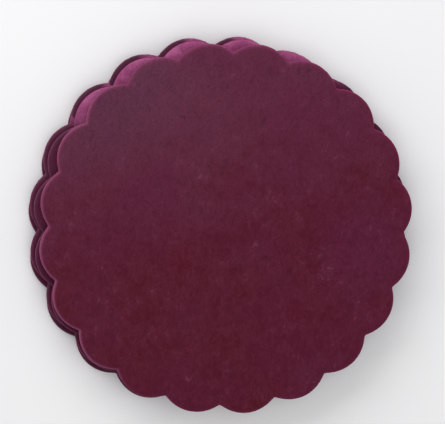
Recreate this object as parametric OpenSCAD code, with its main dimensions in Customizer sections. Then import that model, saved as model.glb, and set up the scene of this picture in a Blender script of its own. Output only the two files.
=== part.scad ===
// A loose stack of round offering plates with scalloped edges.
// Every plate is the same: a stiff board, a thin pad on its face, a velvet cover
// wrapped over the edge and turned in underneath, and a backing that hides the hem.

/* [Plate outline] */
// Radius of a plate out to the crests of its scallops
plate_r = 150; // [120:1:180]
// Number of scallops around the edge
scallops = 20; // [18:1:24]
// Radius of each scallop
scallop_r = 30; // [28:0.5:36]

/* [Layers] */
// Thickness of the board
board_t = 3; // [2:0.5:6]
// Thickness of the pad between the board and the velvet
pad_t = 2; // [1:0.5:4]
// Thickness of the velvet, pile and ground together
velvet_t = 0.7; // [0.6:0.1:1.2]
// Thickness of the felt backing
backing_t = 0.6; // [0.4:0.1:1.5]
// Width of the velvet turned in under the board
hem_w = 16; // [10:1:24]
// How far the backing stops short of the plate's edge
backing_inset = 5; // [3:0.5:9]
// How much the top edge of the cover is rounded off
edge_round = 1.6; // [0.8:0.1:1.8]

/* [Stack] */
// Where each plate's centre lies along X, from the bottom plate up
slip_x = [0, -0.5, 2.8, 6.7]; // [-20:0.1:20]
// Where each plate's centre lies along Y, from the bottom plate up
slip_y = [0, 4.4, 3.5, 1.9]; // [-20:0.1:20]
// How far each plate is turned about its own centre, in degrees
turn = [0, -0.9, -0.6, -4]; // [-9:0.1:9]
// Space between one plate and the next, where the pile keeps them apart
pile_gap = 0.2; // [0.2:0.1:0.6]

/* [Hidden] */
$fn = 96;

crest_ring_r = plate_r - scallop_r;  // the circle that the scallops' centres lie on
hem_z = backing_t;                   // underside of the turned-in hem
board_z = hem_z + velvet_t;          // underside of the board
pad_z = board_z + board_t;           // underside of the pad
cover_z = pad_z + pad_t;             // underside of the velvet on the face
plate_t = cover_z + velvet_t;        // one whole plate
cusp_r = crest_ring_r * cos(180 / scallops)
    + sqrt(pow(scallop_r, 2) - pow(crest_ring_r * sin(180 / scallops), 2));
opening_r = cusp_r - hem_w;          // the round opening inside the hem
edge_steps = 3;                      // layers that round the cover's top edge
cut = 1;                             // how far a cut runs past what it cuts

velvet_colour = [0.36, 0.13, 0.21];
board_colour = [0.62, 0.50, 0.36];
pad_colour = [0.90, 0.89, 0.85];
backing_colour = [0.16, 0.13, 0.14];

// The scalloped outline, drawn in from the plate's edge by inset.
module outline(inset) {
    circle(r = crest_ring_r - inset);
    for (i = [0 : scallops - 1])
        rotate(i * 360 / scallops)
            translate([crest_ring_r, 0]) circle(r = scallop_r - inset);
}

// A flat scalloped layer from z upwards.
module layer(inset, z, thickness) {
    translate([0, 0, z]) linear_extrude(thickness) outline(inset);
}

// Puts a piece where plate k of the stack lies, k = 1 being the bottom one.
module on_plate(k) {
    translate([slip_x[k - 1], slip_y[k - 1], (k - 1) * (plate_t + pile_gap)])
        rotate(turn[k - 1]) children();
}

// How far the rounded edge has drawn in at height h above its start.
function round_inset(h) = edge_round - sqrt(pow(edge_round, 2) - pow(h, 2));

module backing() {
    color(backing_colour) {
        layer(backing_inset, 0, backing_t);
        // it dips into the opening that the hem leaves, down to the board
        cylinder(r = opening_r, h = board_z);
    }
}

module board() {
    color(board_colour) layer(velvet_t, board_z, board_t);
}

module pad() {
    color(pad_colour) layer(velvet_t, pad_z, pad_t);
}

module cover() {
    step = edge_round / edge_steps;
    color(velvet_colour) difference() {
        union() {
            for (s = [0 : edge_steps])
                layer(round_inset(max(s - 1, 0) * step), hem_z, plate_t - hem_z - edge_round + s * step);
        }
        layer(velvet_t, board_z, board_t + pad_t);
        translate([0, 0, hem_z - cut]) cylinder(r = opening_r, h = velvet_t + 2 * cut);
    }
}

on_plate(1) backing();  // backing_1
on_plate(1) board();  // board_1
on_plate(1) pad();  // pad_1
on_plate(1) cover();  // cover_1
on_plate(2) backing();  // backing_2
on_plate(2) board();  // board_2
on_plate(2) pad();  // pad_2
on_plate(2) cover();  // cover_2
on_plate(3) backing();  // backing_3
on_plate(3) board();  // board_3
on_plate(3) pad();  // pad_3
on_plate(3) cover();  // cover_3
on_plate(4) backing();  // backing_4
on_plate(4) board();  // board_4
on_plate(4) pad();  // pad_4
on_plate(4) cover();  // cover_4
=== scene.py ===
"""A loose stack of round offering plates with scalloped edges, each covered in plum velvet.

Each plate is a CAD board with three fabric pieces made here around it: the velvet cover, the pad
under its face, and the felt that hides its hem. They are shaped in code as rings of points round
the plate, with no simulation, because the velvet is glued over a stiff board.
"""
import bpy
import math
import numpy as np
from mathutils import Matrix, Vector


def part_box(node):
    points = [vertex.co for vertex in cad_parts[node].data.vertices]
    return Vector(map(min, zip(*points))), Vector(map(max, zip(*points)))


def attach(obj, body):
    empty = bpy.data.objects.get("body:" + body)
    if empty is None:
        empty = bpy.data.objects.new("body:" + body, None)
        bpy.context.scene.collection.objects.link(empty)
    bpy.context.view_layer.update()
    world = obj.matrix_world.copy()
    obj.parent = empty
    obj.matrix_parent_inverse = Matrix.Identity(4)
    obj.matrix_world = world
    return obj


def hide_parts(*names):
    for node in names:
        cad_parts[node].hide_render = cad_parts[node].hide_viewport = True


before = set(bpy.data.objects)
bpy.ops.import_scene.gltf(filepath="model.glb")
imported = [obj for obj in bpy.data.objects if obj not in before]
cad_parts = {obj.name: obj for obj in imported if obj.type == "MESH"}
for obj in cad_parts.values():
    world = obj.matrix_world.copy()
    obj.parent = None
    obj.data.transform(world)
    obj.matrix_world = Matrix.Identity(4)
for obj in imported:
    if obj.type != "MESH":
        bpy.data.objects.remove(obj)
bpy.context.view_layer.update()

MM = 0.001
PLATES = (1, 2, 3, 4)              # 1 is the bottom plate and 4 the top one
TOP_PLATE = 4

# ---------------------------------------------------------------- sizes that the CAD has too
SCALLOPS = 20
SCALLOP_R = 30 * MM
RING_R = 120 * MM                  # the circle that the scallops' centres lie on
VELVET = 0.7 * MM                  # thickness of the velvet
OPENING_R = 125.9 * MM             # the round opening inside the hem
BACKING_INSET = 5 * MM             # how far the felt stops short of the plate's edge
HALF = math.pi / SCALLOPS          # half the angle that one scallop takes
PITCH = 2 * HALF


def heights(node):
    """Lowest and highest Z of a CAD node."""
    low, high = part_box(node)
    return low.z, high.z


def placing(k):
    """Centre and turn of plate k. The notches between its scallops are the board's innermost points."""
    low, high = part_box(f"board_{k}")
    centre = (low + high) / 2
    points = np.array([v.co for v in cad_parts[f"board_{k}"].data.vertices])
    flat = points[:, :2] - np.array(centre[:2])
    away = np.hypot(flat[:, 0], flat[:, 1])
    notch = flat[away < away.min() + 0.2 * MM]
    phase = np.exp(1j * SCALLOPS * (np.arctan2(notch[:, 1], notch[:, 0]) - HALF)).mean()
    return centre.x, centre.y, float(np.angle(phase)) / SCALLOPS


# ---------------------------------------------------------------- outlines
POINTS = 24                        # points round the edge of one scallop
CROWDING = 0.65                    # from 0 to 1, how much closer together they are at the notches
ROLL_W = 9 * MM                    # how far in from the edge the face starts to fall away
ROLL_H = 3.3 * MM                  # and how far it falls
ROLL_SHAPE = 3.2                   # the exponent of that superellipse


def bearings():
    """Angles round a plate from its first scallop, closer together at the notches."""
    u = np.linspace(-1, 1, POINTS + 1)[:-1]
    within = HALF * ((1 - CROWDING) * u + CROWDING * u * (1.5 - 0.5 * u * u))
    return np.concatenate([i * PITCH + within for i in range(SCALLOPS)])


ANGLES = bearings()
WITHIN = (ANGLES + HALF) % PITCH - HALF                        # angle from the nearest scallop's middle
NUMBER = np.round(ANGLES / PITCH).astype(int) % SCALLOPS       # which scallop that is
CREST = np.cos(WITHIN / HALF * math.pi / 2)                    # 1 on its crest, 0 in the notches


def outline(inset, soften=0.9 * MM):
    """Radius of the scalloped outline at each angle, drawn in by inset, its notches softened."""
    r = RING_R * np.cos(WITHIN) + np.sqrt(
        (SCALLOP_R - inset) ** 2 - (RING_R * np.sin(WITHIN)) ** 2)
    from_notch = (HALF - np.abs(WITHIN)) * r
    return r + 0.8 * (np.sqrt(from_notch ** 2 + soften ** 2) - from_notch)


def inner_outline(radius, keep):
    """A ring further in: a circle of that radius that keeps some of the scallops' waviness."""
    edge = outline(ROLL_W)
    return radius + keep * (edge - edge.mean())


def roll(steps, gap=0.0):
    """Insets and falls along the rounded edge, from face to side, a gap inside the velvet's outside."""
    out = []
    for a in np.linspace(0, math.pi / 2, steps + 1):
        across = math.sin(a) ** (2 / ROLL_SHAPE)
        down = max(math.cos(a), 0) ** (2 / ROLL_SHAPE)
        out.append((gap + (ROLL_W - gap) * (1 - across), gap + (ROLL_H - gap) * (1 - down)))
    return out


# ---------------------------------------------------------------- meshes
def band(s, n, t, m):
    """Faces between a ring of n points from point s on and one of m from point t on.

    One ring may have half the points of the other.
    """
    if n == m:
        return [(s + i, t + i, t + (i + 1) % n, s + (i + 1) % n) for i in range(n)]
    faces = []
    if m == 2 * n:
        for i in range(n):
            j, k = (i + 1) % n, (2 * i + 2) % m
            faces.append((s + i, t + 2 * i, t + 2 * i + 1))
            faces.append((s + i, t + 2 * i + 1, t + k, s + j))
        return faces
    for i in range(m):
        j, k = (i + 1) % m, (2 * i + 2) % n
        faces.append((t + i, s + 2 * i + 1, s + 2 * i))
        faces.append((t + i, t + j, s + k, s + 2 * i + 1))
    return faces


def cap(middle, start, count):
    """Triangles from the point in the middle of a ring out to the ring."""
    return [(middle, start + i, start + (i + 1) % count) for i in range(count)]


def mesh_object(name, rings):
    """Joins rings of points into one closed surface, from the first ring's middle to the last one's."""
    counts = [len(ring) for ring in rings]
    starts = [0, *np.cumsum(counts).tolist()]
    middles = [rings[0].mean(axis=0), rings[-1].mean(axis=0)]
    points = np.concatenate([*rings, middles])
    faces = []
    for a in range(len(rings) - 1):
        faces += band(starts[a], counts[a], starts[a + 1], counts[a + 1])
    faces += cap(starts[-1], starts[0], counts[0])
    faces += [face[::-1] for face in cap(starts[-1] + 1, starts[-2], counts[-1])]
    mesh = bpy.data.meshes.new(name)
    mesh.from_pydata(points.tolist(), [], faces)
    mesh.polygons.foreach_set("use_smooth", [True] * len(mesh.polygons))
    mesh.validate()
    piece = bpy.data.objects.new(name, mesh)
    bpy.context.scene.collection.objects.link(piece)
    return piece


# Slow waves in a plate's face: radians per metre along X and along Y, and strength
WAVES = ((41, 23, 1.0), (-29, 53, 1.0), (83, -61, 0.6), (37, 97, 0.5))
SAG, WAVE_H = 0.11 * MM, 0.035 * MM


class Plate:
    """Where plate k lies, and the small ways in which it differs from the others."""

    def __init__(self, k):
        self.k = k
        self.x, self.y, self.turn = placing(k)
        rng = np.random.default_rng(40 + k)
        self.uneven = rng.uniform(-0.1, 0.45, SCALLOPS) * MM   # scallops cut by hand
        self.phases = rng.uniform(0, 2 * math.pi, 8)

    def ring(self, radius, z, every=1):
        """Points at that radius and height, from every angle or from every second, fourth ... one."""
        angle = (ANGLES + self.turn)[::every]
        radius = np.broadcast_to(radius, ANGLES.shape)[::every]
        z = np.broadcast_to(z, ANGLES.shape)[::every]
        return np.stack([self.x + radius * np.cos(angle), self.y + radius * np.sin(angle), z], axis=1)

    def edge(self, inset):
        """The outline with this plate's own unevenness, largest on the crest of each scallop."""
        return outline(inset) + self.uneven[NUMBER] * CREST ** 2

    def sag(self, radius):
        """How far the face lies below flat, about a tenth of a millimetre, in slow waves."""
        x, y = radius * np.cos(ANGLES), radius * np.sin(ANGLES)
        wave = sum(strength * np.sin(x * along_x + y * along_y + phase)
                   for (along_x, along_y, strength), phase in zip(WAVES, self.phases))
        return SAG + WAVE_H * wave

    def pleats(self):
        """From 0 to 1 across the small pleats that take up the fullness of the hem."""
        phase = self.phases[4] + 0.6 * np.sin(ANGLES * 7 + self.phases[5])
        wave = np.cos(WITHIN / HALF * math.pi * PLEATS + phase)
        return np.clip(wave, 0, 1) ** 2 * CREST ** 0.5


# ---------------------------------------------------------------- velvet covers
# Rings of the face from its edge in: radius in mm, and how much of the scallops' waviness is kept
FACE = ((127, 0.55), (117, 0.25), (107, 0.1), (97, 0), (87, 0), (77, 0), (67, 0), (57, 0))
# and on to its middle: radius in mm, and one point in how many
CORE = ((46, 2), (35, 2), (24, 4), (13, 8))
ROLL_STEPS = 14
SIDE = (0.35, 0.7, 1.0)            # rings down the side, as shares of its height
TURN_R, TURN_STEPS = 1.2 * MM, 6   # radius of the lower edge
PLEATS = 5                         # pleats in the hem of each scallop
PLEAT_OUT = 0.12 * MM              # how far a pleat stands out of the side
PLEAT_DOWN = 0.32 * MM             # and down from the hem
# Rings of the hem: inset in mm, and how much of a pleat's height is left there
HEM = ((2.2, 1.0), (3.4, 0.95), (4.8, 0.8), (6.4, 0.5), (8.2, 0.2))
INNER_SOFTEN = 0.5 * MM            # softening of the notches on the velvet's inner side


def face_rings(plate, top, wavy_rings):
    """Rings of a sagging face, from inside its rounded edge in to its middle."""
    rings = []
    for radius, keep in wavy_rings:
        r = inner_outline(radius * MM, keep)
        rings.append(plate.ring(r, top - plate.sag(r)))
    for radius, every in CORE:
        rings.append(plate.ring(radius * MM, top - plate.sag(radius * MM), every))
    return rings


def roll_rings(plate, top, shape, outline_at):
    """Rings of a rounded edge, whose sag dies away towards the side."""
    rings = []
    for inset, fall in shape:
        r = outline_at(inset)
        rings.append(plate.ring(r, top - fall - inset / ROLL_W * plate.sag(r)))
    return rings


def inner_edge(inset):
    """The outline as the board and the velvet's inner side follow it."""
    return outline(inset, INNER_SOFTEN)


def side_rings(plate, top, bottom):
    """The side of the cover and its lower edge, which the hem's pleats reach a little."""
    pleat = plate.pleats()
    side_top, side_low = top - ROLL_H, bottom + TURN_R
    rings = []
    for share in SIDE:
        r = plate.edge(0.0) + PLEAT_OUT * share * pleat
        rings.append(plate.ring(r, side_top + (side_low - side_top) * share))
    for a in np.linspace(0, math.pi / 2, TURN_STEPS + 1)[1:]:
        r = plate.edge(TURN_R * (1 - math.cos(a))) + PLEAT_OUT * pleat * (1 - math.sin(a))
        z = bottom + TURN_R * (1 - math.sin(a)) - PLEAT_DOWN * pleat * math.sin(a) ** 2
        rings.append(plate.ring(r, z))
    return rings


def hem_rings(plate, bottom):
    """The hem, turned in under the board, with its pleats."""
    pleat = plate.pleats()
    rings = []
    for inset, share in HEM:
        rings.append(plate.ring(plate.edge(inset * MM), bottom - PLEAT_DOWN * share * pleat))
    rings.append(plate.ring(inner_outline(OPENING_R + 2 * MM, 0.15), bottom))
    rings.append(plate.ring(OPENING_R, bottom + 0.1 * MM))
    return rings


def lining_rings(plate, top, board_low, board_high):
    """The inner side of the cover, from the hem's end round the board and pad to under the face."""
    rings = [
        plate.ring(OPENING_R, board_low - 0.05 * MM),
        plate.ring(plate.edge(6 * MM), board_low - 0.02 * MM),
        plate.ring(inner_edge(VELVET), board_low),
        plate.ring(inner_edge(VELVET), board_high),
    ]
    rings += roll_rings(plate, top, reversed(roll(6, VELVET)), inner_edge)
    return rings + face_rings(plate, top - VELVET, FACE[::2])


def make_cover(k):
    """The velvet of plate k: one closed sheet over the face, round the edge and under the board."""
    plate = Plate(k)
    bottom, top = heights(f"cover_{k}")
    rings = face_rings(plate, top, FACE)[::-1]
    rings += roll_rings(plate, top, roll(ROLL_STEPS), plate.edge)
    rings += side_rings(plate, top, bottom)
    rings += hem_rings(plate, bottom)
    rings += lining_rings(plate, top, *heights(f"board_{k}"))
    piece = mesh_object(f"velvet_{k}", rings)
    mark_nap(piece, plate, top)
    return piece


# ---------------------------------------------------------------- painted light on the edges, and the rim
# Bearings in degrees over which a mark on the velvet comes in and goes out
PALE_IN, PALE_OUT = (52, 72), (146, 156)
# the painted highlight on the rim
HIGHLIGHT_IN, HIGHLIGHT_OUT = (125, 150), (234, 248)
DULL_IN, DULL_OUT = (55, 90), (240, 265)      # for the top plate's rim, which is marked less there
UPWARD = (94, 112)                 # the pale band ends where a scallop's edge faces past this


def smooth(value, low, high):
    """Rises smoothly from 0 at low to 1 at high."""
    t = np.clip((value - low) / (high - low), 0, 1)
    return t * t * (3 - 2 * t)


def pale_band(plate, x, y, fall):
    """Painted light: a paler band along the side of each plate that faces the key light."""
    r, angle = np.hypot(x, y), np.degrees(np.arctan2(y, x)) % 360
    pale = smooth(angle, *PALE_IN) * (1 - smooth(angle, *PALE_OUT))
    pale *= 1 - smooth(fall, 2 * MM, 5 * MM)
    if plate.k == TOP_PLATE:                                   # only the rounded edge itself
        return pale * 0.25 * smooth(fall, 0.2 * MM, 1.4 * MM)
    if plate.k == TOP_PLATE - 1:
        return pale * smooth(r, 120 * MM, 135 * MM)
    # further down, only where the edge of a scallop faces the same way as the band
    middle = plate.turn + PITCH * np.round((np.radians(angle) - plate.turn) / PITCH)
    facing = np.degrees(np.arctan2(y - RING_R * np.sin(middle), x - RING_R * np.cos(middle)))
    return pale * smooth(r, 128 * MM, 138 * MM) * (1 - smooth(facing, *UPWARD))


def mark_nap(piece, plate, top):
    """Stores, at each point, how much it takes of the painted light band, of the rim and of the painted
    highlight on the rim.
    """
    points = np.array([v.co for v in piece.data.vertices])
    x, y, fall = points[:, 0] - plate.x, points[:, 1] - plate.y, top - points[:, 2]
    angle = np.degrees(np.arctan2(y, x)) % 360
    above = 1 - smooth(fall, 3.0 * MM, 5.0 * MM)
    # painted highlight along the rounded edge on the side towards the key light, strongest towards the
    # lower left
    rim_highlight = smooth(fall, 0.4 * MM, 1.3 * MM) * above
    rim_highlight *= smooth(angle, *HIGHLIGHT_IN) * (1 - smooth(angle, *HIGHLIGHT_OUT))
    rim_highlight *= 0.7 + 0.3 * smooth(angle, 160, 210)
    rim = smooth(fall, 0.2 * MM, 1.1 * MM) * above
    if plate.k == TOP_PLATE:
        rim *= 1 - 0.6 * smooth(angle, *DULL_IN) * (1 - smooth(angle, *DULL_OUT))
    marks = {"painted_band": pale_band(plate, x, y, fall), "rim": rim, "rim_highlight": rim_highlight}
    for name, values in marks.items():
        layer = piece.data.attributes.new(name, "FLOAT", "POINT")
        layer.data.foreach_set("value", values.astype(np.float32))


# ---------------------------------------------------------------- pads and backings
def match_counts(rings):
    """Puts in rings where the next one has over twice, or under half, the points of the last."""
    out = [rings[0]]
    for ring in rings[1:]:
        while len(ring) > 2 * len(out[-1]):
            last = np.repeat(out[-1], 2, axis=0)
            near = ring[::len(ring) // len(last)]
            out.append(last + 0.5 * (near - last))
        while len(out[-1]) > 2 * len(ring):
            last = out[-1][::2]
            near = np.repeat(ring, len(last) // len(ring), axis=0)
            out.append(last + 0.5 * (near - last))
        out.append(ring)
    return out


PAD_CORE = 30 * MM                 # the innermost ring of a pad
PAD_GAP = VELVET + 0.05 * MM       # from the velvet's outside to the pad


def make_pad(k):
    """The foam between the board and the velvet, with the cover's rounded edge."""
    plate = Plate(k)
    low = heights(f"pad_{k}")[0]
    cover_top = heights(f"cover_{k}")[1]
    top = cover_top - PAD_GAP
    rings = [plate.ring(PAD_CORE, top - plate.sag(PAD_CORE), 4)]
    for radius, keep in reversed(FACE[::2]):
        r = inner_outline(radius * MM, keep)
        rings.append(plate.ring(r, top - plate.sag(r)))
    above = [(inset, fall) for inset, fall in roll(8, PAD_GAP) if cover_top - fall > low + 0.1 * MM]
    rings += roll_rings(plate, cover_top, above, inner_edge)
    rings.append(plate.ring(inner_edge(PAD_GAP), low + 0.05 * MM))
    rings.append(plate.ring(inner_edge(PAD_GAP + 0.3 * MM), low))
    rings.append(plate.ring(inner_outline(110 * MM, 0.1), low))
    rings.append(plate.ring(PAD_CORE, low, 2))
    return mesh_object(f"foam_{k}", match_counts(rings))


# Flat rings of the felt: radius in mm, and one point in how many
FELT_TOP = ((14, 8), (30, 4), (48, 2), (66, 1), (84, 1), (102, 1), (118, 1))
FELT_UNDER = ((104, 1), (88, 1), (70, 1), (50, 2), (31, 4), (14, 8))
FELT_DIP = 0.45 * MM               # how far the felt sinks into the opening inside the hem
# where its underside sinks: radius in mm, and share of the dip
DIP = ((126.5, 0.1), (124.5, 0.55), (122.0, 0.9), (118, 1.0))


def make_backing(k):
    """The felt that hides the hem. It dips into the opening that the hem leaves."""
    plate = Plate(k)
    low = heights(f"backing_{k}")[0]
    hem_low = heights(f"cover_{k}")[0]
    board_low = heights(f"board_{k}")[0]
    wobble = np.sin(ANGLES * 13 + plate.phases[6]) * np.cos(ANGLES * 4 + plate.phases[7])
    edge = plate.edge(BACKING_INSET) + 0.35 * MM * wobble      # cut by hand
    rings = [plate.ring(radius * MM, board_low - 0.02 * MM, every) for radius, every in FELT_TOP]
    rings += [
        plate.ring(125.5 * MM, board_low - 0.05 * MM),
        plate.ring(127 * MM, hem_low - 0.01 * MM),
        plate.ring(edge - 1 * MM, hem_low - 0.01 * MM),
        plate.ring(edge - 0.1 * MM, hem_low - 0.03 * MM),
        plate.ring(edge, (low + hem_low) / 2),
        plate.ring(edge - 0.12 * MM, low + 0.08 * MM),
        plate.ring(edge - 0.5 * MM, low + 0.01 * MM),
        plate.ring(edge - 2.0 * MM, low + 0.03 * MM * (1 - plate.pleats())),
        plate.ring(inner_outline(129 * MM, 0.4), low),
    ]
    rings += [plate.ring(inner_outline(radius * MM, 0.02), low + share * FELT_DIP) for radius, share in DIP]
    rings += [plate.ring(radius * MM, low + FELT_DIP, every) for radius, every in FELT_UNDER]
    return mesh_object(f"felt_{k}", rings)


# ---------------------------------------------------------------- materials
def srgb(*levels):
    """A colour from its levels of 0 to 255, as the shaders take it."""
    out = []
    for level in levels:
        v = level / 255
        out.append(v / 12.92 if v <= 0.04045 else ((v + 0.055) / 1.055) ** 2.4)
    return (*out, 1.0)


class Shader:
    """A Principled material with short ways to add nodes."""

    def __init__(self, name, offset=(0, 0, 0)):
        self.material = bpy.data.materials.new(name)
        self.material.use_nodes = True
        self.tree = self.material.node_tree
        self.bsdf = self.tree.nodes["Principled BSDF"]
        self.plain = self.node("ShaderNodeTexCoord").outputs["Object"]
        mapping = self.node("ShaderNodeMapping", {"Vector": self.plain, "Location": offset})
        self.place = mapping.outputs["Vector"]

    def node(self, kind, inputs=(), **settings):
        """Adds a node. Its inputs are other nodes' outputs or plain values."""
        n = self.tree.nodes.new(kind)
        for key, value in settings.items():
            setattr(n, key, value)
        for key, value in dict(inputs).items():
            self.feed(n.inputs[key], value)
        return n

    def feed(self, socket, value):
        if isinstance(value, bpy.types.NodeSocket):
            self.tree.links.new(value, socket)
        else:
            socket.default_value = value

    def noise(self, scale, detail=3.0, rough=0.5, stretch=None, distortion=0.0):
        place = self.place
        if stretch:
            place = self.node("ShaderNodeMapping", {"Vector": place, "Scale": stretch}).outputs[0]
        return self.node("ShaderNodeTexNoise", {
            "Vector": place, "Scale": scale, "Detail": detail, "Roughness": rough,
            "Distortion": distortion}).outputs["Fac"]

    def ramp(self, value, low, high, out_low=0.0, out_high=1.0):
        """Goes from out_low at low to out_high at high, and stays there beyond them."""
        return self.node("ShaderNodeMapRange", {
            "Value": value, "From Min": low, "From Max": high,
            "To Min": out_low, "To Max": out_high}, clamp=True).outputs["Result"]

    def mix(self, factor, a, b):
        """Colour a, with b over it by factor."""
        n = self.node("ShaderNodeMix", data_type="RGBA", blend_type="MIX", clamp_factor=True)
        for socket, value in ((n.inputs[0], factor), (n.inputs[6], a), (n.inputs[7], b)):
            self.feed(socket, value)
        return n.outputs[2]

    def paint(self, colour, layers):
        """Puts layers of (factor, colour) over a colour, one after another."""
        for factor, over in layers:
            colour = self.mix(factor, colour, over)
        return colour

    def math(self, operation, a, b):
        return self.node("ShaderNodeMath", {0: a, 1: b}, operation=operation).outputs[0]

    def blend(self, a, b, share):
        """The sum of a and b, with that share of b."""
        return self.math("ADD", self.math("MULTIPLY", a, 1 - share), self.math("MULTIPLY", b, share))

    def vector(self, operation, a, b=(0, 0, 0)):
        return self.node("ShaderNodeVectorMath", {0: a, 1: b}, operation=operation)

    def along(self, bearing):
        """Distance from the middle of the stack in that direction, in metres."""
        direction = (math.cos(math.radians(bearing)), math.sin(math.radians(bearing)), 0)
        return self.vector("DOT_PRODUCT", self.plain, direction).outputs["Value"]

    def away(self, x, y):
        """Distance from a point of the stack as seen from above, in metres."""
        offset = self.vector("SUBTRACT", self.plain, (x, y, 0)).outputs[0]
        flat = self.vector("MULTIPLY", offset, (1, 1, 0)).outputs[0]
        return self.vector("LENGTH", flat).outputs["Value"]

    def mark(self, name, strength):
        """One of the marks that mark_nap stored at the points, times its strength."""
        value = self.node("ShaderNodeAttribute", attribute_name=name).outputs["Fac"]
        return self.math("MULTIPLY", value, strength)

    def finish(self, colour, roughness, height, distance, strength, **constants):
        """Feeds the shader. The constants are set on its own sockets, with _ for a space."""
        self.feed(self.bsdf.inputs["Base Color"], colour)
        self.feed(self.bsdf.inputs["Roughness"], roughness)
        bump = self.node("ShaderNodeBump", {"Height": height, "Distance": distance, "Strength": strength})
        self.feed(self.bsdf.inputs["Normal"], bump.outputs["Normal"])
        for name, value in constants.items():
            self.bsdf.inputs[name.replace("_", " ")].default_value = value
        return self.material


SHEEN = {1: 0.35, 2: 0.35, 3: 0.4, 4: 0.5}       # how much the pile of each plate catches the light
RIM_HIGHLIGHT = {1: 0.15, 2: 0.2, 3: 0.1, 4: 0.8}       # and how strong the painted highlight on its rounded edge is
KEY_SIDE_BEARING = 111                               # painted sheen: the face is drawn paler towards this side, where the key light is, in degrees


def pile_colour(s, clouds, strokes):
    """The velvet's colour, which shifts as the pile leans one way or another, with painted sheen and
    painted shade across the face from the key light.
    """
    towards_key = s.along(KEY_SIDE_BEARING)
    swathes = s.noise(11, 2.0, 0.5)
    leaning = s.mix(s.ramp(s.noise(24, 3.0, 0.55), 0.38, 0.64), srgb(86, 20, 29), srgb(87, 27, 46))
    scuffs = s.math("MULTIPLY", s.ramp(clouds, 0.58, 0.66), s.ramp(strokes, 0.56, 0.66, 0, 0.5))
    return s.paint(leaning, (
        (s.ramp(clouds, 0.35, 0.68, 0.0, 0.6), srgb(99, 36, 55)),
        # painted sheen: paler towards the key light's side of the face; painted shade: darker and redder
        # towards the other
        (s.ramp(towards_key, 0.0, 0.14, 0.0, 0.55), srgb(110, 62, 87)),
        (s.ramp(towards_key, 0.02, -0.12, 0.0, 0.4), srgb(81, 12, 18)),
        # broad areas that lie a little differently, and a greyer patch near the key light that is painted
        # sheen
        (s.ramp(swathes, 0.47, 0.62, 0.0, 0.35), srgb(92, 27, 56)),
        (s.ramp(s.away(0.114, 0.0), 0.05, 0.02, 0.0, 0.5), srgb(93, 30, 62)),
        # painted sheen: a greyer haze on the face nearest the key light
        (s.ramp(s.away(-0.1, 0.105), 0.075, 0.02, 0.0, 0.35), srgb(90, 60, 80)),
        # short strokes and scuffs
        (s.ramp(strokes, 0.50, 0.74, 0.0, 0.55), srgb(102, 40, 62)),
        (s.ramp(strokes, 0.50, 0.28, 0.0, 0.4), srgb(60, 12, 27)),
        (scuffs, srgb(124, 62, 86)),
    ))


def edge_colour(s, k):
    """Layers over the rounded edge. The lower plates are darker towards their edges, which is painted shade
    from the plates above them, and have a dark grey rim.
    """
    if k == TOP_PLATE:
        return ((s.mark("rim", 0.85), srgb(106, 26, 60)),)
    x, y = placing(k)[:2]
    return (
        # painted shade: the lower plates darker towards their edges, where the plates above shade them
        (s.ramp(s.away(x, y), 0.1, 0.137, 0.1, 0.6), srgb(62, 14, 40)),
        (s.mark("rim", 0.7), srgb(68, 36, 50)),
    )


def velvet(k):
    s = Shader(f"plum velvet {k}", offset=(0.37 * k, -0.53 * k, 0.0))
    clouds = s.noise(75, 4.0, 0.6, distortion=0.5)
    strokes = s.noise(230, 3.0, 0.6, stretch=(1.0, 0.55, 1.0), distortion=1.6)
    grain = s.noise(1100, 2.0, 0.7)
    # painted light: the pale band on each plate's side towards the key light, broken up by the strokes
    painted_band = s.mark("painted_band", s.ramp(strokes, 0.3, 0.6, 0.75, 1.0))
    pale = s.mix(s.ramp(clouds, 0.35, 0.65), srgb(150, 67, 112), srgb(176, 92, 140))
    colour = s.paint(pile_colour(s, clouds, strokes), (
        *edge_colour(s, k),
        # painted highlight on the rounded edge along the left side, towards the key light
        (s.mark("rim_highlight", RIM_HIGHLIGHT[k]), srgb(144, 76, 110)),
        # painted light: the pale band towards the key light
        (painted_band, pale),
        (s.ramp(grain, 0.35, 0.65, 0.0, 0.36), srgb(54, 12, 26)),
    ))
    return s.finish(colour, s.ramp(clouds, 0.35, 0.65, 0.9, 0.75), s.blend(grain, strokes, 0.5),
                    0.25 * MM, 0.5, Specular_IOR_Level=0.25, Specular_Tint=srgb(225, 180, 235),
                    Sheen_Weight=SHEEN[k], Sheen_Roughness=0.4, Sheen_Tint=srgb(250, 120, 180))


def felt():
    s = Shader("backing felt")
    fibres = s.noise(700, 5.0, 0.75, stretch=(1.0, 0.4, 1.0), distortion=1.5)
    matted = s.noise(140, 4.0, 0.6)
    colour = s.mix(s.ramp(fibres, 0.3, 0.7), srgb(34, 27, 30), srgb(62, 51, 55))
    colour = s.mix(s.ramp(matted, 0.4, 0.7, 0, 0.5), colour, srgb(70, 58, 62))
    return s.finish(colour, s.ramp(fibres, 0.3, 0.7, 0.98, 0.88), s.blend(fibres, matted, 0.4),
                    0.3 * MM, 0.8, Specular_IOR_Level=0.2, Sheen_Weight=0.25,
                    Sheen_Roughness=0.6, Sheen_Tint=srgb(190, 180, 184))


def foam():
    s = Shader("pad foam")
    cells = s.node("ShaderNodeTexVoronoi", {"Vector": s.place, "Scale": 900.0}).outputs["Distance"]
    colour = s.mix(s.ramp(cells, 0.05, 0.6), srgb(196, 190, 176), srgb(233, 229, 217))
    colour = s.mix(s.ramp(s.noise(60), 0.4, 0.7, 0, 0.4), colour, srgb(238, 226, 196))
    return s.finish(colour, s.ramp(cells, 0.0, 0.7, 0.95, 0.8), cells, 0.3 * MM, 0.7,
                    Specular_IOR_Level=0.2)


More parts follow.
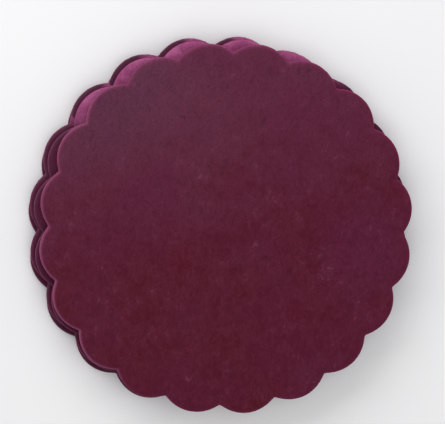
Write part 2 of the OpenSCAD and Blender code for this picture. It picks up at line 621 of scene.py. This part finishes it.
def fibreboard():
    s = Shader("fibreboard")
    fibres = s.noise(520, 5.0, 0.7, stretch=(1.0, 0.3, 2.0), distortion=0.8)
    colour = s.mix(s.ramp(fibres, 0.3, 0.7), srgb(150, 118, 84), srgb(186, 154, 116))
    colour = s.mix(s.ramp(s.noise(26), 0.35, 0.7, 0, 0.5), colour, srgb(170, 134, 94))
    return s.finish(colour, s.ramp(fibres, 0.3, 0.7, 0.85, 0.65), fibres, 0.12 * MM, 0.6,
                    Specular_IOR_Level=0.35)


def plain_floor():
    s = Shader("floor")
    colour = s.mix(s.ramp(s.noise(3, 2.0), 0.3, 0.7), srgb(247, 247, 249), srgb(250, 250, 251))
    return s.finish(colour, s.ramp(s.noise(40), 0.3, 0.7, 0.85, 0.8), s.noise(400), 0.05 * MM, 0.2,
                    Specular_IOR_Level=0.1)


# ---------------------------------------------------------------- the pieces
felt_material, foam_material, board_material = felt(), foam(), fibreboard()
for k in PLATES:
    body = f"plate_{k}"
    cover, pad, backing = make_cover(k), make_pad(k), make_backing(k)
    for piece, node, slot_name, material in (
            (cover, f"cover_{k}", "velvet", velvet(k)),
            (pad, f"pad_{k}", "pad", foam_material),
            (backing, f"backing_{k}", "backing_felt", felt_material)):
        piece.data.materials.append(material)
        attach(piece, body)
        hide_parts(node)
    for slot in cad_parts[f"board_{k}"].material_slots:
        slot.material = board_material

# ---------------------------------------------------------------- floor
FLOOR_HALF = 6.0
floor_corners = [(x * FLOOR_HALF, y * FLOOR_HALF, 0) for x, y in ((-1, -1), (1, -1), (1, 1), (-1, 1))]
floor_mesh = bpy.data.meshes.new("floor")
floor_mesh.from_pydata(floor_corners, [], [(0, 1, 2, 3)])
floor_mesh.materials.append(plain_floor())
floor = bpy.data.objects.new("floor", floor_mesh)
bpy.context.scene.collection.objects.link(floor)

# ---------------------------------------------------------------- camera and light
ROLL = math.radians(6.7)           # how far the top of the view is turned from +Y
TILT = math.radians(11.4)          # how far the camera leans from straight above
HEADING = math.radians(124.8)      # and towards which side of the view
DISTANCE = 3.5
SEEN_WIDTH = 0.354                 # width of the view where it meets the top plate's face
VIEW_SHIFT = (-0.0037, 0.0148, 0)  # from the middle of that face to the middle of the view
SENSOR_W = 36

turned = Matrix.Rotation(ROLL, 3, "Z")


def add_camera():
    low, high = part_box(f"cover_{TOP_PLATE}")
    face_centre = Vector(((low.x + high.x) / 2, (low.y + high.y) / 2, high.z))
    target = face_centre + turned @ Vector(VIEW_SHIFT)
    away = Vector((math.sin(TILT) * math.cos(HEADING), math.sin(TILT) * math.sin(HEADING),
                   math.cos(TILT)))
    data = bpy.data.cameras.new("camera")
    data.sensor_width = SENSOR_W
    data.lens = SENSOR_W * DISTANCE / SEEN_WIDTH
    data.clip_start, data.clip_end = 0.05, 30
    camera = bpy.data.objects.new("camera", data)
    bpy.context.scene.collection.objects.link(camera)
    camera.rotation_mode = "QUATERNION"
    leaning = Vector((0, 0, 1)).rotation_difference(away)
    camera.rotation_quaternion = turned.to_quaternion() @ leaning
    camera.location = target + (turned @ away) * DISTANCE
    bpy.context.scene.camera = camera


def area_light(name, place, size, power):
    """A rectangular light that faces the middle of the stack. Its place is turned with the view."""
    data = bpy.data.lights.new(name, "AREA")
    data.shape, data.size, data.size_y = "RECTANGLE", size[0], size[1]
    data.energy = power
    light = bpy.data.objects.new(name, data)
    bpy.context.scene.collection.objects.link(light)
    light.location = turned @ Vector(place)
    light.rotation_mode = "QUATERNION"
    light.rotation_quaternion = (turned @ Vector(place)).to_track_quat("Z", "Y")


def add_surround(strength):
    """Even white light from all round."""
    world = bpy.data.worlds.new("studio")
    world.use_nodes = True
    background = world.node_tree.nodes["Background"]
    background.inputs["Color"].default_value = (1.0, 1.0, 1.0, 1)
    background.inputs["Strength"].default_value = strength
    bpy.context.scene.world = world


add_camera()
area_light("key", (-0.67, 1.44, 1.0), (2.1, 1.1), 22)
area_light("overhead", (0.3, -0.2, 2.2), (2.2, 2.2), 11)
add_surround(0.5)
bpy.context.scene.view_settings.view_transform = "Standard"
